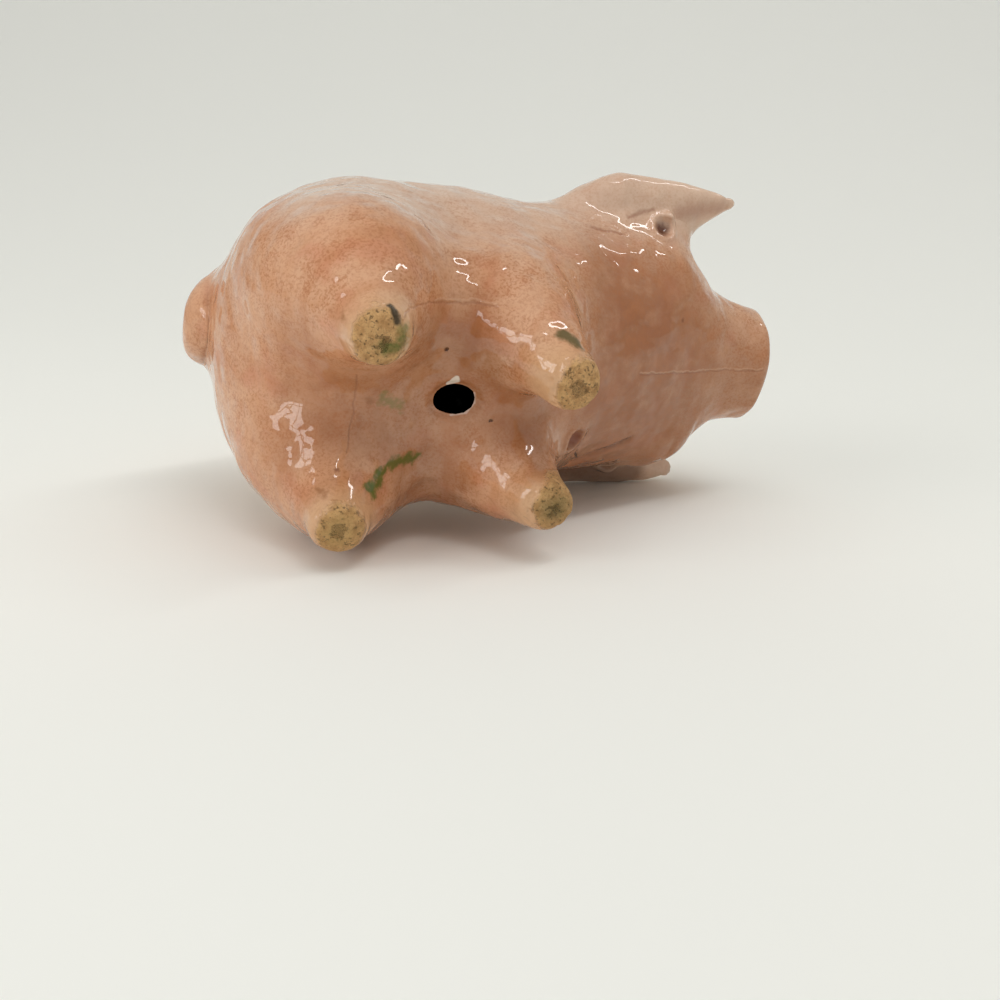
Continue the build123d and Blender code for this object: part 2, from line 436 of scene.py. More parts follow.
def crossing_points(values, cells, low):
    """One point in each of the cells, amid the places where the skin crosses the cell's edges."""
    total = np.zeros((len(cells), 3))
    hits = np.zeros(len(cells))
    for a in CELL_CORNERS:
        for axis in np.flatnonzero(a == 0):
            b = a + AXES[axis]
            va, vb = values[tuple((cells + a).T)], values[tuple((cells + b).T)]
            flips = (va < 0) != (vb < 0)
            share = va[flips] / (va[flips] - vb[flips])
            total[flips] += a + share[:, None] * (b - a)
            hits[flips] += 1
    return low + (cells + total / hits[:, None]) * SPACING


def crossing_quads(inside, number):
    """A quad round each grid edge that the skin crosses, facing out of the clay."""
    quads = []
    for axis in range(3):
        second, third = (axis + 1) % 3, (axis + 2) % 3
        flips = np.argwhere(np.diff(inside, axis=axis))
        flips = flips[np.all(flips[:, [second, third]] > 0, axis=1)]
        around = ((0, 0), (1, 0), (1, 1), (0, 1))
        cells = [flips - b * AXES[second] - c * AXES[third] for b, c in around]
        quad = np.stack([number[tuple(cell.T)] for cell in cells], -1)
        outward = inside[tuple(flips.T)]
        quads.append(np.where(outward[:, None], quad, quad[:, ::-1]))
    return np.concatenate(quads)


def settled(points, quads):
    """The points evened out along the skin and brought onto it."""
    edges = np.concatenate([quads[:, [i, (i + 1) % 4]] for i in range(4)])
    for _ in range(SETTLE_ROUNDS):
        total = np.zeros_like(points)
        count = np.zeros(len(points))
        np.add.at(total, edges[:, 0], points[edges[:, 1]])
        np.add.at(count, edges[:, 0], 1)
        points = (1 - SETTLE_SHARE) * points + SETTLE_SHARE * total / count[:, None]
        slope = uphill(points)
        steep = np.maximum((slope * slope).sum(1), SLOPE_FLOOR)
        points = points - np.clip(pig_distance(points) / steep, -SPACING, SPACING)[:, None] * slope
    return points


def skin_mesh():
    """Points and triangles of the whole skin."""
    values, low = sampled_grid()
    inside = values < 0
    size = np.array(values.shape) - 1
    full = np.zeros(size, int)
    for corner in CELL_CORNERS:
        full += inside[tuple(slice(c, c + n) for c, n in zip(corner, size))]
    crossed = (full > 0) & (full < len(CELL_CORNERS))
    cells = np.argwhere(crossed)
    number = np.full(crossed.shape, -1)
    number[crossed] = np.arange(len(cells))
    quads = crossing_quads(inside, number)
    points = settled(crossing_points(values, cells, low), quads)
    return points, np.concatenate((quads[:, [0, 1, 2]], quads[:, [0, 2, 3]]))


def split(points, triangles, field):
    """Cuts the triangles where the field crosses zero: points, triangles below zero, triangles above."""
    below = field[triangles] < 0
    count = below.sum(1)
    mixed = (count == 1) | (count == 2)
    cut, low = triangles[mixed], below[mixed]
    odd = np.where(count[mixed, None] == 1, low, ~low)
    first = odd.argmax(1)
    rows = np.arange(len(cut))
    a, b, c = (cut[rows, (first + i) % 3] for i in range(3))
    pairs = np.sort(np.concatenate((np.stack((a, b), 1), np.stack((a, c), 1))), axis=1)
    pairs, place = np.unique(pairs, axis=0, return_inverse=True)
    place = place.reshape(-1)
    fa, fb = field[pairs[:, 0]], field[pairs[:, 1]]
    share = np.clip(fa / (fa - fb), CUT_MARGIN_SHARE, 1 - CUT_MARGIN_SHARE)[:, None]
    new = points[pairs[:, 0]] + share * (points[pairs[:, 1]] - points[pairs[:, 0]])
    ab = len(points) + place[:len(cut)]
    ac = len(points) + place[len(cut):]
    tip = np.stack((a, ab, ac), 1)
    rest = np.concatenate((np.stack((ab, b, c), 1), np.stack((ab, c, ac), 1)))
    tip_low = count[mixed] == 1
    rest_low = np.concatenate((~tip_low, ~tip_low))
    under = np.concatenate((triangles[count == 3], tip[tip_low], rest[rest_low]))
    over = np.concatenate((triangles[count == 0], tip[~tip_low], rest[~rest_low]))
    return np.concatenate((points, new)), under, over


def feature_field(p, distance):
    """Below zero where a feature stands out of the trunk."""
    return distance - trunk_distance(p) + FEATURE_STAND


def side_field(p, distance, side):
    """The same, on one side of the pig only: -1 is its right and 1 its left."""
    return np.maximum(feature_field(p, distance), -p[:, 1] * side)


def panel_field(p):
    """Below zero inside the belly panel's outline."""
    t = np.clip((p[:, 0] - PANEL_REAR_X) / (PANEL_FRONT_X - PANEL_REAR_X), 0, 1)
    edge = PANEL_REAR_Y + (PANEL_FRONT_Y - PANEL_REAR_Y) * t + 4 * PANEL_BULGE * t * (1 - t)
    ends = np.maximum(PANEL_REAR_X - p[:, 0], p[:, 0] - PANEL_FRONT_X)
    return np.max((ends, np.abs(p[:, 1]) - edge, p[:, 2] - PANEL_TOP_Z), 0)


def cut_pieces():
    """The skin cut into the part's pieces: points and a name for each set of triangles."""
    fields = {"tail": lambda p: feature_field(p, tail_distance(p))}
    for name, side in (("right_ear", -1), ("left_ear", 1)):
        fields[name] = lambda p, side=side: side_field(p, ears_distance(p), side)
    for name, leg in LEGS.items():
        fields[name] = lambda p, leg=leg: side_field(p, thigh_distance(p, leg), np.sign(leg["foot"][1]))
    fields["belly_panel"] = panel_field
    fields["right_side_shell"] = lambda p: p[:, 1]
    points, rest = skin_mesh()
    points, _, rest = split(points, rest, vent_gap(points))
    found = {}
    for name, field in fields.items():
        points, found[name], rest = split(points, rest, field(points))
    found["left_side_shell"] = rest
    return points, found


def inward_room(points, normals):
    """How thick the wall may be at each point: less where the clay is thin and at the vent."""
    room = np.full(len(points), PROBE_START)
    for reach in np.arange(PROBE_START, PROBE_END, -PROBE_STEP):
        outside = pig_distance(points - normals * reach) > 0
        room[outside] = reach
    thin = VENT_WALL + np.maximum(vent_gap(points), 0)
    return np.minimum(np.minimum(WALL, ROOM_SHARE * room), thin)


def border_edges(triangles, count):
    """Edges that belong to one triangle only, of triangles that number their points below a count."""
    edges = np.concatenate([triangles[:, [i, (i + 1) % 3]] for i in range(3)])
    code = edges[:, 0] * count + edges[:, 1]
    back = edges[:, 1] * count + edges[:, 0]
    return edges[~np.isin(code, back)]


def wall_mesh(name, points, triangles):
    """A closed wall from a piece of skin: the skin, the same drawn inward, and a rim between them."""
    used, local = np.unique(triangles, return_inverse=True)
    outer = points[used]
    skin = local.reshape(-1, 3)
    n = len(used)
    normals = uphill(outer)
    normals /= np.maximum(length(normals), TINY)[:, None]
    inner = outer - normals * inward_room(outer, normals)[:, None]
    i, j = border_edges(skin, n).T
    rim = np.concatenate((np.stack((j, i, i + n), 1), np.stack((j, i + n, j + n), 1)))
    faces = np.concatenate((skin, skin[:, ::-1] + n, rim))
    corners = np.concatenate((outer, inner)) * MM
    mesh = bpy.data.meshes.new(name)
    mesh.from_pydata(corners.tolist(), [], faces.tolist())
    sides = corners[rim]
    rim_normals = np.cross(sides[:, 1] - sides[:, 0], sides[:, 2] - sides[:, 0])
    rim_normals /= np.maximum(length(rim_normals), TINY)[:, None]
    loops = np.concatenate((normals[skin].reshape(-1, 3), -normals[skin[:, ::-1]].reshape(-1, 3),
                            np.repeat(rim_normals, 3, axis=0)))
    hollow = 1 - pig_distance(outer + normals * HOLLOW_REACH) / HOLLOW_REACH
    measures = {"hollow": np.concatenate((hollow, hollow)), "inner": np.repeat((0.0, 1.0), n)}
    for measure, values in measures.items():
        mesh.attributes.new(measure, "FLOAT", "POINT").data.foreach_set("value", values.astype(np.float32))
    mesh.polygons.foreach_set("use_smooth", np.ones(len(faces), bool))
    mesh.normals_split_custom_set(loops.tolist())
    mesh.update()
    return mesh


# Noises of the glaze: scale to the millimetre, detail, roughness and bend.
NOISES = {
    "cloud": (0.10, 4, 0.55, 0.0),
    "patch": (0.35, 6, 0.62, 0.2),
    "grain": (1.7, 5, 0.7, 0.0),
    "stroke": (1.0, 2, 0.5, 0.0),
    "blush": (0.22, 3, 0.5, 0.0),
    "dot": (3.8, 1, 0.6, 0.0),
    "clay": (1.3, 5, 0.75, 0.0),
    "hole": (2.9, 3, 0.6, 0.0),
    "wave": (0.42, 1, 0.4, 0.0),
}

# Smooth steps of the glaze: where each starts and ends, and its values before and after.
STEPS = {
    "cloud": (0.36, 0.64, 0.0, 1.0),
    "stroke": (0.46, 0.66, 0.0, 0.45),
    "stroke_rear": (-4.0, 2.0, 1.0, 0.0),
    "blush": (0.50, 0.68, 0.0, 0.45),
    "flank_out": (11.0, 15.5, 0.0, 0.75),
    "flank_up": (9.0, 20.0, 0.0, 1.0),
    "chest_front": (2.0, 9.0, 0.0, 1.0),
    "chest_low": (16.0, 25.5, 0.85, 0.0),
    "chest_patch": (0.25, 0.6, 0.6, 1.0),
    "pool": (0.12, 0.78, 0.0, 0.70),
    "pool_rear": (-6.0, 0.0, 1.0, 0.5),
    "wash_patch": (0.48, 0.72, 0.0, 0.4),
    "belly_low": (7.0, 13.0, 0.4, 0.0),
    "belly_middle": (5.0, 10.0, 1.0, 0.0),
    "belly_above_legs": (4.0, 7.0, 0.0, 1.0),
    "grain": (0.45, 0.72, 0.0, 0.35),
    "dot": (0.46, 0.64, 0.0, 1.0),
    "dot_patch": (0.38, 0.62, 0.2, 0.55),
    "top": (22.0, 32.0, 0.0, 0.35),
    "cream": (0.5, 4.5, 0.6, 0.0),
    "clay": (0.35, 0.65, 0.0, 1.0),
    "hole": (0.55, 0.66, 0.0, 0.75),
    "inside": (0.2, 0.8, 0.0, 1.0),
    "roughness": (0.0, 1.0, 0.04, 0.85),
}

# Other values of the glaze: strokes, pools of wash, shares of pale glaze with painted sheen and light,
# ragged edges, relief and gloss.
STROKE_SCALES = (0.55, 0.05, 0.05)
POOL_PATCHINESS = 0.8
PALE_GLAZE_AND_LIGHT_SHARE = 0.45
EAR_PALE_AND_LIT_RADIUS = 4.6
EAR_PALE_AND_LIT_SOFT = 3.6
WARP_SCALE = 1.1
WARP_DETAIL = 3.0
WAVE_RELIEF = 0.45
BARE_RELIEF = 0.5
GLAZE_IOR = 1.55


class Shader:
    """Short names for building a material's nodes."""

    def __init__(self, name):
        self.material = bpy.data.materials.new(name)
        self.material.use_nodes = True
        self.tree = self.material.node_tree
        self.tree.nodes.clear()

    def node(self, kind, inputs=(), **settings):
        """A node with its settings, and inputs given by name or number as values or sockets."""
        made = self.tree.nodes.new(kind)
        for key, value in settings.items():
            setattr(made, key, value)
        for key, value in dict(inputs).items():
            if isinstance(value, bpy.types.NodeSocket):
                self.tree.links.new(value, made.inputs[key])
            else:
                made.inputs[key].default_value = value
        return made

    def math(self, operation, a, b=0.0, clamp=False):
        """One sum on numbers."""
        return self.node("ShaderNodeMath", {0: a, 1: b}, operation=operation, use_clamp=clamp).outputs[0]

    def times(self, a, b):
        """Two numbers multiplied."""
        return self.math("MULTIPLY", a, b)

    def vector(self, operation, a, b=(0, 0, 0)):
        """One sum on vectors."""
        return self.node("ShaderNodeVectorMath", {0: a, 1: b}, operation=operation)

    def scaled(self, vector, factor):
        """A vector times a number."""
        return self.node("ShaderNodeVectorMath", {0: vector, "Scale": factor}, operation="SCALE").outputs[0]

    def ramp(self, value, low, high, to_low, to_high):
        """A smooth step from one value to another."""
        inputs = {"Value": value, "From Min": low, "From Max": high, "To Min": to_low, "To Max": to_high}
        return self.node("ShaderNodeMapRange", inputs, interpolation_type="SMOOTHSTEP").outputs[0]

    def step(self, value, kind):
        """One of the glaze's smooth steps."""
        return self.ramp(value, *STEPS[kind])

    def noise(self, place, kind):
        """One of the glaze's cloudy noises."""
        scale, detail, rough, bend = NOISES[kind]
        inputs = {"Vector": place, "Scale": scale, "Detail": detail, "Roughness": rough, "Distortion": bend}
        return self.node("ShaderNodeTexNoise", inputs).outputs["Fac"]

    def measure(self, name):
        """One of the values that the mesh carries at its points."""
        return self.node("ShaderNodeAttribute", attribute_name=name).outputs["Fac"]

    def mix(self, share, a, b):
        """Mixes two colours."""
        return self.node("ShaderNodeMix", {0: share, 6: a, 7: b}, data_type="RGBA").outputs[2]

    def trail(self, place, spots, radius, soft, flat):
        """One near a line through several places, nought away from it: heights count only by a share."""
        place = self.vector("MULTIPLY", place, (1, 1, flat)).outputs[0]
        spots = [(x, y, z * flat) for x, y, z in spots]
        share = self.mark(place, spots[0], spots[min(1, len(spots) - 1)], radius, soft)
        for start, end in zip(spots[1:], spots[2:]):
            share = self.math("MAXIMUM", share, self.mark(place, start, end, radius, soft))
        return share

    def mark(self, place, start, end, radius, soft):
        """One near the line from start to end, nought away from it."""
        start, end = np.array(start, float), np.array(end, float)
        away = self.vector("SUBTRACT", place, tuple(start)).outputs[0]
        run = end - start
        if run @ run > 0:
            t = self.vector("DOT_PRODUCT", away, tuple(run / (run @ run))).outputs["Value"]
            t = self.math("MAXIMUM", t, 0.0, clamp=True)
            away = self.vector("SUBTRACT", away, self.scaled(tuple(run), t)).outputs[0]
        gap = self.vector("LENGTH", away).outputs["Value"]
        return self.ramp(gap, radius - soft, radius + soft, 1.0, 0.0)


def colour(red, green, blue):
    """A screen colour of 0 to 255 as linear light."""
    def linear(c):
        c = c / 255
        return c / 12.92 if c <= 0.04045 else ((c + 0.055) / 1.055) ** 2.4
    return (linear(red), linear(green), linear(blue), 1.0)


# Colours of the glaze, the brown wash over it, a pale grey of paler glaze and painted sheen, an ear colour
# of paler glaze and painted light, the bare clay and painted shade for the dark inside.
PALE = colour(213, 166, 132)
SPECKLE = colour(170, 106, 64)
TAN = colour(206, 150, 110)
# Paler glaze and a painted sheen on the flanks and the top.
GREY_GLAZE_AND_SHEEN = colour(214, 186, 164)
WASH = colour(186, 120, 74)
BROWN = colour(148, 88, 48)
CREAM = colour(208, 168, 126)
# Paler glaze and painted light on the ears.
EAR_PALE_AND_PAINTED_LIGHT = colour(236, 204, 178)
CLAY_LIGHT = colour(222, 176, 118)
CLAY_DARK = colour(190, 142, 88)
CLAY_HOLE = colour(84, 60, 30)
RED = colour(196, 124, 92)
# Painted shade: the walls' inner faces are near black, as the hollow inside is dark.
INSIDE_PAINTED_SHADE = colour(30, 20, 14)

# Kinds of mark: colour and strength, then half width, softness, dent and raggedness in millimetres.
MARK_KINDS = {
    "pinhole": (colour(70, 38, 24), 0.95, 0.17, 0.10, 0.25, 0.0),
    "speck": (colour(128, 74, 42), 0.75, 0.22, 0.15, 0.0, 0.2),
    "chip": (colour(240, 226, 210), 0.95, 0.26, 0.08, 0.03, 0.2),
    # Painted highlight: a pale line on the vent's lit rim.
    "painted_vent_rim_highlight": (colour(226, 206, 194), 0.65, 0.10, 0.07, 0.0, 0.0),
    "seam": (colour(132, 78, 50), 0.32, 0.08, 0.08, 0.03, 0.2),
    "seam_ridge": (colour(228, 188, 156), 0.26, 0.08, 0.08, -0.02, 0.3),
    "crease": (colour(140, 80, 50), 0.55, 0.20, 0.20, 0.03, 0.3),
    # Painted shade along the ear's lower edge, on its underside.
    "painted_ear_shade": (colour(158, 100, 72), 0.50, 0.90, 0.90, 0.0, 0.4),
    "fold": (colour(96, 54, 34), 0.70, 0.30, 0.35, 0.0, 0.3),
    "crack": (colour(60, 34, 20), 0.85, 0.13, 0.10, 0.15, 0.3),
    "pit": (colour(134, 70, 42), 0.85, 0.85, 0.35, 0.0, 0.3),
    "eye": (colour(92, 46, 28), 0.90, 0.70, 0.45, 0.0, 0.4),
    # Painted shade under the left ear, in the gap by the ground.
    "painted_shade_under_ear": (colour(96, 54, 34), 0.60, 1.70, 1.20, 0.0, 0.4),
    "stain": (colour(128, 116, 58), 0.75, 0.45, 0.45, 0.0, 1.1),
    "moss": (colour(88, 100, 36), 0.90, 0.45, 0.35, 0.0, 1.0),
    "moss_patch": (colour(88, 100, 36), 0.85, 0.65, 0.45, 0.0, 1.1),
    "olive": (colour(84, 74, 28), 0.90, 0.60, 0.30, 0.0, 0.7),
    "slit": (colour(58, 46, 24), 0.95, 0.32, 0.20, 0.0, 0.4),
    "foot_green": (colour(84, 104, 30), 0.80, 0.50, 0.60, 0.0, 1.0),
    "foot_dark": (colour(92, 92, 44), 0.55, 1.40, 1.00, 0.0, 0.8),
    "foot_yellow": (colour(196, 162, 98), 0.50, 1.40, 1.00, 0.0, 0.8),
    "rust": (colour(150, 96, 52), 0.70, 0.32, 0.25, 0.0, 0.6),
}

# Kinds drawn as lines on the skin: a place's height counts little, so that they don't break off.
LINE_KINDS = ("seam", "seam_ridge", "painted_vent_rim_highlight", "chip")
LINE_FLATNESS = 0.12
BELLY, LEG, BODY, EAR = "belly_glaze", "leg_glaze", "body_glaze", "ear_glaze"

# Courses of the seams and the smear, and how far a light ridge and its dark seam lie apart.
REAR_SEAM = ((-17.1, -3.1, 6.3), (-16.8, -1.7, 7.2), (-16.7, 1.1, 7.5), (-17.2, 4.0, 5.6))
RIGHT_SEAM = ((-15.0, -10.9, 1.1), (-14.1, -10.9, 2.9), (-12.7, -10.6, 4.8), (-11.0, -10.0, 7.0),
              (-9.6, -9.65, 8.2), (-8.2, -9.5, 8.6), (-6.8, -9.7, 8.4), (-5.3, -9.9, 7.6))
CHIN_SEAM = ((13.0, -1.7, 14.2), (20.3, -0.7, 17.9), (27.8, -0.5, 19.9), (29.8, -0.7, 19.9))
MOSS_SMEAR = ((-10.2, 5.6, 7.9), (-12.0, 5.4, 6.9), (-13.3, 5.6, 5.7), (-14.5, 6.0, 4.4), (-15.0, 6.8, 3.2))
RIGHT_RIDGE_SHIFT = -0.25
CHIN_SEAM_SHIFT = 0.22


def shifted(spots, shift):
    """The places moved sideways."""
    return tuple((x, y + shift, z) for x, y, z in spots)


# Marks: the slots that each lies in, its kind and the places that it runs through.
MARKS = (
    ((BELLY,), "pinhole", ((-9.0, -5.3, 8.1),)),
    ((BELLY,), "pinhole", ((-3.8, 1.3, 7.5),)),
    ((BELLY,), "chip", ((-8.0, -1.65, 8.6), (-7.35, -1.95, 8.6), (-7.55, -2.35, 8.6), (-7.8, -1.9, 8.6))),
    # Painted highlight along the vent's lower rim.
    ((BELLY,), "painted_vent_rim_highlight", ((-5.5, -0.9, 8.3), (-5.35, 0.05, 8.3), (-6.0, 1.05, 8.3), (-7.35, 1.5, 8.4))),
    ((BELLY,), "stain", ((-14.0, -0.4, 7.6), (-12.5, 0.5, 7.9))),
    ((BELLY,), "rust", ((-15.4, -0.1, 7.5),)),
    ((BELLY, LEG), "seam", REAR_SEAM),
    ((LEG,), "seam", RIGHT_SEAM),
    ((LEG,), "seam_ridge", shifted(RIGHT_SEAM[3:], RIGHT_RIDGE_SHIFT)),
    ((BELLY, LEG), "moss", MOSS_SMEAR),
    ((BELLY, LEG), "moss_patch", ((-14.2, 5.8, 4.8), (-14.9, 6.7, 3.4))),
    ((LEG,), "foot_green", ((-16.4, -8.4, 0.0), (-15.3, -8.6, 0.2), (-14.9, -9.6, 0.4))),
    ((LEG,), "slit", ((-16.2, -11.5, 1.3), (-15.5, -10.6, 0.3))),
    ((LEG,), "rust", ((-19.6, -9.8, 2.6),)),
    ((LEG,), "rust", ((-19.9, 6.6, 3.0), (-19.4, 6.9, 2.2))),
    ((LEG,), "speck", ((-18.2, 5.2, 4.1),)),
    ((LEG,), "olive", ((-0.2, -9.4, 3.2), (1.0, -9.0, 2.6))),
    ((LEG,), "foot_dark", ((1.3, 6.0, 0.0),)),
    ((LEG,), "foot_yellow", ((-18.2, 9.0, 0.0),)),
    ((BODY,), "seam_ridge", CHIN_SEAM),
    ((BODY,), "seam", shifted(CHIN_SEAM, CHIN_SEAM_SHIFT)),
    ((BODY,), "pit", (PIT_FLOOR,)),
    ((BODY,), "crack", ((7.6, 6.7, 13.1), (8.0, 7.5, 13.7), (8.6, 8.6, 14.8))),
    ((BODY,), "fold", JOWL_FOLD),
    ((BODY,), "speck", ((18.1, -6.2, 18.1),)),
    ((BODY, EAR), "eye", (EYE_FLOOR,)),
    # Painted shade under the left ear.
    ((BODY, EAR), "painted_shade_under_ear", ((10.0, 15.5, 24.5), (15.0, 15.9, 25.3), (20.5, 15.9, 25.9))),
    ((BODY, EAR), "crease", ((12.4, -14.2, 24.9), (15.2, -15.2, 25.4))),
    ((BODY,), "crease", ((7.8, -13.5, 22.4), (11.4, -13.1, 22.6))),
    # Painted shade along the right ear's lower edge.
    ((EAR,), "painted_ear_shade", ((18.6, -15.0, 25.8), (23.6, -15.5, 26.9))),
)


def on_left(place):
    """A place of the right side, on the left side."""
    x, y, z = place
    return (x, -y, z)


def washed_glaze(s, place, grain):
    """The glaze's colour: clouds of pale and tan under a mottled brown wash, with a painted sheen on the
    flanks and top and painted light on the ears.
    """
    parts = s.node("ShaderNodeSeparateXYZ", {0: place})
    x, y, z = (parts.outputs[i] for i in range(3))
    out = s.math("ABSOLUTE", y)
    side = s.node("ShaderNodeCombineXYZ", {0: x, 1: out, 2: z}).outputs[0]
    patch = s.noise(place, "patch")
    base = s.mix(s.step(s.noise(place, "cloud"), "cloud"), PALE, TAN)

    # Brush strokes of thin wash run round the haunches.
    ring = s.vector("DISTANCE", side, on_left(HAUNCH_CENTRE)).outputs["Value"]
    stroke_parts = {i: s.times(part, STROKE_SCALES[i]) for i, part in enumerate((ring, x, z))}
    stroke_place = s.node("ShaderNodeCombineXYZ", stroke_parts).outputs[0]
    strokes = s.step(s.noise(stroke_place, "stroke"), "stroke")
    base = s.mix(s.times(strokes, s.step(x, "stroke_rear")), base, WASH)
    base = s.mix(s.step(s.noise(place, "blush"), "blush"), base, RED)

    # The flanks are paler and greyer, partly paler glaze and partly a painted sheen, and the chest and jaw
    # browner.
    flank_pale_and_sheen = s.times(s.step(out, "flank_out"), s.step(z, "flank_up"))
    base = s.mix(flank_pale_and_sheen, base, GREY_GLAZE_AND_SHEEN)
    chest = s.times(s.step(x, "chest_front"), s.step(z, "chest_low"))
    base = s.mix(s.times(chest, s.step(patch, "chest_patch")), base, BROWN)

    # The wash lies thicker in hollows and on the belly, in patches and in dots.
    patchiness = s.times(s.math("SUBTRACT", patch, 0.5), POOL_PATCHINESS)
    pooled = s.math("ADD", s.measure("hollow"), patchiness)
    base = s.mix(s.times(s.step(pooled, "pool"), s.step(x, "pool_rear")), base, BROWN)
    base = s.mix(s.step(patch, "wash_patch"), base, WASH)
    belly = s.times(s.step(z, "belly_low"), s.step(out, "belly_middle"))
    base = s.mix(s.times(belly, s.step(z, "belly_above_legs")), base, BROWN)
    base = s.mix(s.step(grain, "grain"), base, SPECKLE)
    dots = s.step(s.noise(place, "dot"), "dot")
    base = s.mix(s.times(dots, s.step(patch, "dot_patch")), base, SPECKLE)

    # Paler glaze and a painted sheen lie over the flanks and the top, paler glaze and painted light over
    # the ears, and the legs are creamier towards the feet.
    # More painted sheen over the flanks, and more on the top.
    base = s.mix(s.times(flank_pale_and_sheen, PALE_GLAZE_AND_LIGHT_SHARE), base, GREY_GLAZE_AND_SHEEN)
    base = s.mix(s.step(z, "top"), base, GREY_GLAZE_AND_SHEEN)
    # Paler glaze with painted light along the ears.
    ear_line = (on_left(EAR_ROOT), on_left(RIGHT_EAR_TIP))
    ears = s.trail(side, ear_line, EAR_PALE_AND_LIT_RADIUS, EAR_PALE_AND_LIT_SOFT, 1.0)
    base = s.mix(s.times(ears, PALE_GLAZE_AND_LIGHT_SHARE), base, EAR_PALE_AND_PAINTED_LIGHT)
    return s.mix(s.step(z, "cream"), base, CREAM)


def bare_share(s, place, warp):
    """One on the feet's bare ends, nought elsewhere."""
    ragged = s.vector("MULTIPLY", s.vector("ADD", place, warp).outputs[0], BARE_SHAPE).outputs[0]
    share = 0.0
    for leg in LEGS.values():
        centre = np.array((*leg["bare"], 0.0)) * np.array(BARE_SHAPE)
        share = s.math("MAXIMUM", share, s.mark(ragged, centre, centre, BARE_RADIUS, BARE_SOFT))
    return share


def bare_clay(s, place):
    """The bare clay's colour, light and dark with small holes."""
    clay = s.mix(s.step(s.noise(place, "clay"), "clay"), CLAY_DARK, CLAY_LIGHT)
    return s.mix(s.step(s.noise(place, "hole"), "hole"), clay, CLAY_HOLE)


def marked(s, name, place, warp, base, relief):
    """Colour and relief with one slot's stains, seams and other marks, among them painted shade and a
    painted highlight.
    """
    for slots, kind, spots in MARKS:
        if name not in slots:
            continue
        tint, strength, radius, soft, dent, ragged = MARK_KINDS[kind]
        flat = LINE_FLATNESS if kind in LINE_KINDS else 1.0
        ragged_place = s.vector("ADD", place, s.scaled(warp, 2 * ragged)).outputs[0]
        share = s.trail(ragged_place, spots, radius, soft, flat)
        base = s.mix(s.times(share, strength), base, tint)
        relief = s.math("SUBTRACT", relief, s.times(share, dent))
    return base, relief


def glaze(name):
    """One slot's glaze, with the wash, the bare feet, the marks, painted shade on the inner faces and a
    shallow relief.
    """
    s = Shader(name)
    place = s.scaled(s.node("ShaderNodeTexCoord").outputs["Object"], 1 / MM)
    grain = s.noise(place, "grain")
    warp = s.node("ShaderNodeTexNoise", {"Vector": place, "Scale": WARP_SCALE, "Detail": WARP_DETAIL})
    warp = s.vector("SUBTRACT", warp.outputs["Color"], (0.5, 0.5, 0.5)).outputs[0]
    bare = bare_share(s, place, warp)
    base = s.mix(bare, washed_glaze(s, place, grain), bare_clay(s, place))
    relief = s.times(s.noise(place, "wave"), WAVE_RELIEF)
    base, relief = marked(s, name, place, warp, base, relief)
    # Painted shade: the inner faces get a near-black colour.
    base = s.mix(s.step(s.measure("inner"), "inside"), base, INSIDE_PAINTED_SHADE)
    relief = s.math("ADD", relief, s.times(s.times(grain, bare), BARE_RELIEF))
    normal = s.node("ShaderNodeBump", {"Strength": 1.0, "Distance": MM, "Height": relief}).outputs[0]
    shine = s.node("ShaderNodeBsdfPrincipled", {
        "Base Color": base, "Roughness": s.step(bare, "roughness"), "IOR": GLAZE_IOR, "Normal": normal})
    s.node("ShaderNodeOutputMaterial", {"Surface": shine.outputs[0]})
    return s.material


def make_pig():
    """Every piece of the pig in place of its plain solid, and the skin's points."""
    points, found = cut_pieces()
    slots = {part["node"]: part["material_slot"] for part in frame["record"]["subparts"]}
    finish = {slot: glaze(slot) for slot in sorted(set(slots.values()))}
    for name, triangles in found.items():
        piece = bpy.data.objects.new("pig_" + name, wall_mesh("pig_" + name, points, triangles))
        bpy.context.collection.objects.link(piece)
        piece.data.materials.append(finish[slots[name]])
        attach(piece, "root")
        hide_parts(name)
    return points


# Camera: place, right and up directions and lens, found from the photograph's outline.
CAMERA_PLACE = Vector((-37.2, -46.25, -90.55)) * MM
CAMERA_RIGHT = Vector((0.9526, -0.1775, -0.2469))
CAMERA_UP = Vector((-0.0304, -0.8635, 0.5034))
CAMERA_LENS = 44.2
SENSOR = 36.0
CLIP_START = 0.005
CLIP_END = 20

# Stage in metres: pale ground that the pig lies on, which sweeps up far behind it, and a floor at its feet.
STAGE_COLOUR = colour(241, 241, 235)
GLOW_COLOUR = colour(229, 229, 223)
GROUND_NORMAL = Vector((-0.065, -1.0, 0.25)).normalized()
GROUND_FAR = Vector((0.34, 0.0, 0.94))
GROUND_HALF_WIDTH = 1.6
GROUND_NEAR = -0.9
GROUND_GLOW = 0.0
SWEEP_START = 0.12
SWEEP_RADIUS = 0.45
SWEEP_HEIGHT = 1.2
SWEEP_STEPS = 24
FLOOR_HALF_SIZE = 0.9
FLOOR_GLOW = 0.35

# Lamps: direction and distance, the long side's way, sizes in metres, and the light on what faces them.
LAMPS = {
    "overhead": {"direction": (-0.10, -0.98, 0.02), "distance": 0.60, "along": (1, 0, 0),
                 "sizes": (0.5, 0.5), "level": 0.27, "mirrored": False},
    "left": {"direction": (-0.92, -0.34, -0.16), "distance": 0.60, "along": (0, 1, 0),
             "sizes": (0.5, 0.5), "level": 0.15, "mirrored": False},
    "far_side": {"direction": (0.10, 0.20, 0.97), "distance": 0.60, "along": (1, 0, 0),
                 "sizes": (0.5, 0.5), "level": 0.30, "mirrored": False},
    "strip": {"direction": (0.26, -0.95, 0.05), "distance": 0.45, "along": (0.80, 0.14, 0.50),
              "sizes": (0.50, 0.024), "level": 0.24, "mirrored": True},
}
LAMP_TARGET = Vector((0, 0, BELLY_HEIGHT * MM))

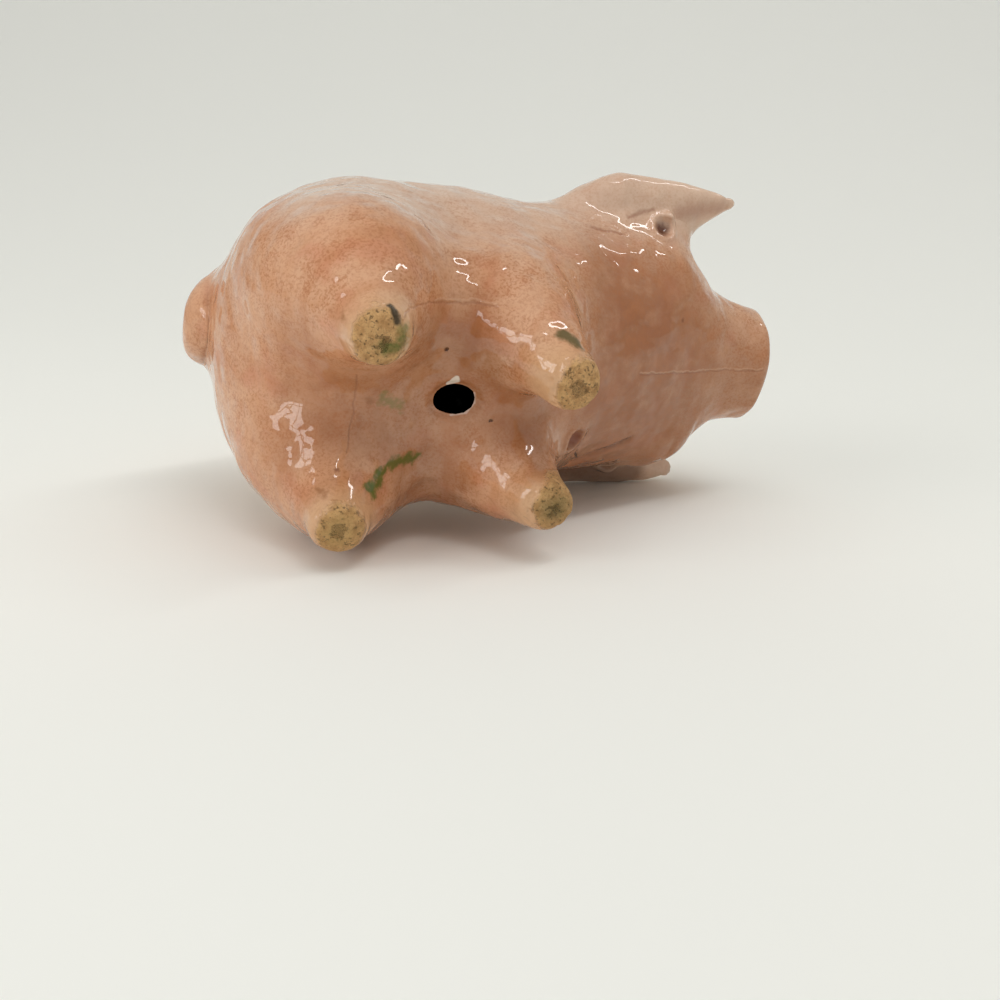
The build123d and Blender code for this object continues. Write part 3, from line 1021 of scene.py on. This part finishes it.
# Window of four panes at the photograph's left, and the world's light as it falls and as it is seen.
WINDOW_DIRECTION = (-0.90, -0.38, -0.18)
WINDOW_DISTANCE = 0.45
WINDOW_PANE = 0.092
WINDOW_BAR = 0.016
WINDOW_LEVEL = 0.20
WINDOW_CORNERS = ((-1, -1), (1, -1), (-1, 1), (1, 1))
WORLD_COLOUR = (1.0, 1.0, 0.98, 1)
WORLD_LEVEL = 0.4
WORLD_SEEN = 0.5


def make_camera():
    """The photograph's view."""
    data = bpy.data.cameras.new("camera")
    data.lens = CAMERA_LENS
    data.sensor_width = SENSOR
    data.clip_start = CLIP_START
    data.clip_end = CLIP_END
    camera = bpy.data.objects.new("camera", data)
    bpy.context.collection.objects.link(camera)
    right = CAMERA_RIGHT.normalized()
    up = (CAMERA_UP - CAMERA_UP.dot(right) * right).normalized()
    turn = Matrix((right, up, right.cross(up))).transposed()
    camera.matrix_world = Matrix.Translation(CAMERA_PLACE) @ turn.to_4x4()
    bpy.context.scene.camera = camera


def pale_stage(name, glow):
    """Pale ground that shows only from its front, with a little glow of its own to the camera."""
    s = Shader(name)
    solid = s.node("ShaderNodeBsdfDiffuse", {"Color": STAGE_COLOUR})
    seen = s.node("ShaderNodeLightPath").outputs["Is Camera Ray"]
    shine = s.node("ShaderNodeEmission", {"Color": GLOW_COLOUR, "Strength": s.times(seen, glow)})
    front = s.node("ShaderNodeAddShader", {0: solid.outputs[0], 1: shine.outputs[0]})
    clear = s.node("ShaderNodeBsdfTransparent")
    behind = s.node("ShaderNodeNewGeometry").outputs["Backfacing"]
    mixed = s.node("ShaderNodeMixShader", {0: behind, 1: front.outputs[0], 2: clear.outputs[0]})
    s.node("ShaderNodeOutputMaterial", {"Surface": mixed.outputs[0]})
    return s.material


def stage_piece(name, corners, faces, glow):
    """One piece of the stage, which casts no shadow."""
    mesh = bpy.data.meshes.new(name)
    mesh.from_pydata(corners, [], faces)
    mesh.polygons.foreach_set("use_smooth", [True] * len(faces))
    mesh.materials.append(pale_stage(name, glow))
    piece = bpy.data.objects.new(name, mesh)
    bpy.context.collection.objects.link(piece)
    piece.visible_shadow = False
    return piece


def make_ground(points):
    """Pale ground that the pig's left side touches, sweeping up far behind it."""
    normal = GROUND_NORMAL
    reach = float((points * MM @ np.array(normal)).min())
    far = (GROUND_FAR - GROUND_FAR.dot(normal) * normal).normalized()
    across = normal.cross(far)
    profile = [(GROUND_NEAR, 0.0)]
    for step in range(SWEEP_STEPS + 1):
        turn = math.pi / 2 * step / SWEEP_STEPS
        profile.append((SWEEP_START + SWEEP_RADIUS * math.sin(turn), SWEEP_RADIUS * (1 - math.cos(turn))))
    profile.append((SWEEP_START + SWEEP_RADIUS, SWEEP_HEIGHT))
    corners = []
    for along, rise in profile:
        for side in (-GROUND_HALF_WIDTH, GROUND_HALF_WIDTH):
            corners.append(tuple(far * along + across * side + normal * (reach + rise)))
    faces = [(2 * i, 2 * i + 2, 2 * i + 3, 2 * i + 1) for i in range(len(profile) - 1)]
    stage_piece("ground", corners, faces, GROUND_GLOW)


def make_floor():
    """A floor at the pig's feet, which shows from above only and throws no light on the pig."""
    square = ((-1, -1), (1, -1), (1, 1), (-1, 1))
    corners = [(x * FLOOR_HALF_SIZE, y * FLOOR_HALF_SIZE, 0.0) for x, y in square]
    floor = stage_piece("floor", corners, [(0, 1, 2, 3)], FLOOR_GLOW)
    floor.visible_diffuse = False
    floor.visible_glossy = False


def make_world():
    """An even pale world, a little brighter where it is seen than in the light that it gives."""
    world = bpy.data.worlds.new("world")
    world.use_nodes = True
    tree = world.node_tree
    back = tree.nodes["Background"]
    back.inputs["Color"].default_value = WORLD_COLOUR
    path = tree.nodes.new("ShaderNodeLightPath")
    seen = tree.nodes.new("ShaderNodeMath")
    seen.operation = "MAXIMUM"
    level = tree.nodes.new("ShaderNodeMapRange")
    level.inputs["To Min"].default_value = WORLD_LEVEL
    level.inputs["To Max"].default_value = WORLD_SEEN
    tree.links.new(path.outputs["Is Camera Ray"], seen.inputs[0])
    tree.links.new(path.outputs["Is Glossy Ray"], seen.inputs[1])
    tree.links.new(seen.outputs[0], level.inputs["Value"])
    tree.links.new(level.outputs[0], back.inputs["Strength"])
    bpy.context.scene.world = world


def make_lamp(name, place, along, sizes, power, mirrored):
    """A flat lamp that faces the pig, and shows or not as a highlight in the glaze."""
    data = bpy.data.lights.new(name, "AREA")
    data.shape = "RECTANGLE"
    data.size, data.size_y = sizes
    data.energy = power
    lamp = bpy.data.objects.new(name, data)
    back = (place - LAMP_TARGET).normalized()
    side = (along - along.dot(back) * back).normalized()
    turn = Matrix((side, back.cross(side), back)).transposed()
    lamp.matrix_world = Matrix.Translation(place) @ turn.to_4x4()
    lamp.visible_camera = False
    lamp.visible_glossy = mirrored
    bpy.context.collection.objects.link(lamp)


def lamp_power(level, distance):
    """Watts that give a level of light at a distance."""
    return level * (math.pi * distance) ** 2


def make_lamps():
    """Wide soft lamps that light the pig, and a narrow one that shows in its glaze."""
    for name, lamp in LAMPS.items():
        place = Vector(lamp["direction"]).normalized() * lamp["distance"]
        power = lamp_power(lamp["level"], lamp["distance"])
        make_lamp(name, place, Vector(lamp["along"]), lamp["sizes"], power, lamp["mirrored"])


def make_window():
    """A window of four panes, which shows in the glaze."""
    centre = Vector(WINDOW_DIRECTION).normalized() * WINDOW_DISTANCE
    across = centre.cross(GROUND_NORMAL).normalized()
    rise = across.cross(centre).normalized()
    gap = (WINDOW_PANE + WINDOW_BAR) / 2
    power = lamp_power(WINDOW_LEVEL / len(WINDOW_CORNERS), WINDOW_DISTANCE)
    for i, j in WINDOW_CORNERS:
        place = centre + across * gap * i + rise * gap * j
        make_lamp("window", place, across, (WINDOW_PANE, WINDOW_PANE), power, True)


skin_points = make_pig()
make_camera()
make_ground(skin_points)
make_floor()
make_world()
make_lamps()
make_window()
bpy.context.scene.view_settings.view_transform = "Standard"
